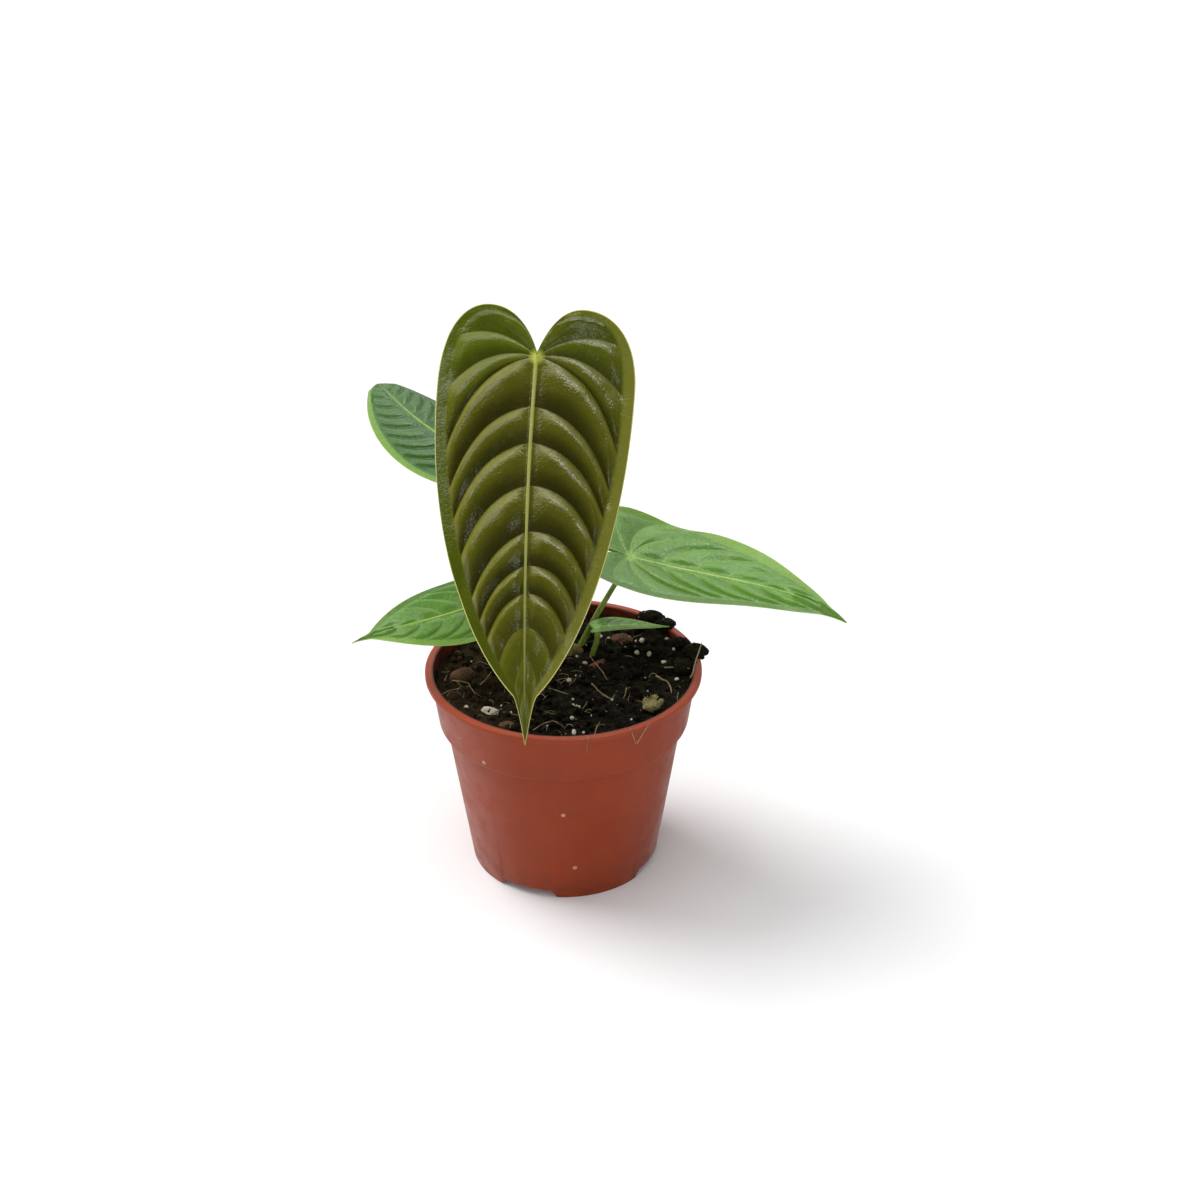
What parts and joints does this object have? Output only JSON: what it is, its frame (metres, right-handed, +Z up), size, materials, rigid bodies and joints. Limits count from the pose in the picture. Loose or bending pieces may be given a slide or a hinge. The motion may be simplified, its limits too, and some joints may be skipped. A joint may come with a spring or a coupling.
{
  "type": "potted king anthurium",
  "caption": "Young potted king anthurium: a long, ridged, heart-shaped hanging leaf and smaller leaves on slim stalks, in a tapered plastic nursery pot of peaty mix.",
  "frame": {"origin": "on the pot's axis, at the surface that it stands on: the middle of the flat pad under the pot's floor", "axes": "+Z up, -Y towards the side that the large leaf hangs over, +X towards the leaf that reaches to the right"},
  "size_m": [0.2083, 0.1566, 0.2487],
  "materials": {
    "terracotta_plastic": "satin",
    "potting_mix": "matte",
    "stem": "matte",
    "leaf_stalk": "satin",
    "young_leaf": "satin",
    "green_leaf": "satin",
    "dark_green_leaf": "satin",
    "perlite": "matte",
    "bark": "matte",
    "coir": "matte",
    "dry_sheath": "matte"
  },
  "bodies": {
    "root": {"pot": "terracotta_plastic", "soil": "potting_mix", "crown": "stem", "petiole_front": "leaf_stalk", "blade_front": "young_leaf", "petiole_back": "leaf_stalk", "blade_back": "dark_green_leaf", "petiole_right": "leaf_stalk", "blade_right": "green_leaf", "petiole_left": "leaf_stalk", "blade_left": "green_leaf", "petiole_small": "leaf_stalk", "blade_small": "green_leaf", "perlite_1": "perlite", "perlite_2": "perlite", "perlite_3": "perlite", "perlite_4": "perlite", "perlite_5": "perlite", "perlite_6": "perlite", "bark_1": "bark", "bark_2": "bark", "bark_3": "bark", "coir_clump": "coir", "sheath_husk": "dry_sheath"}
  },
  "joints": []
}
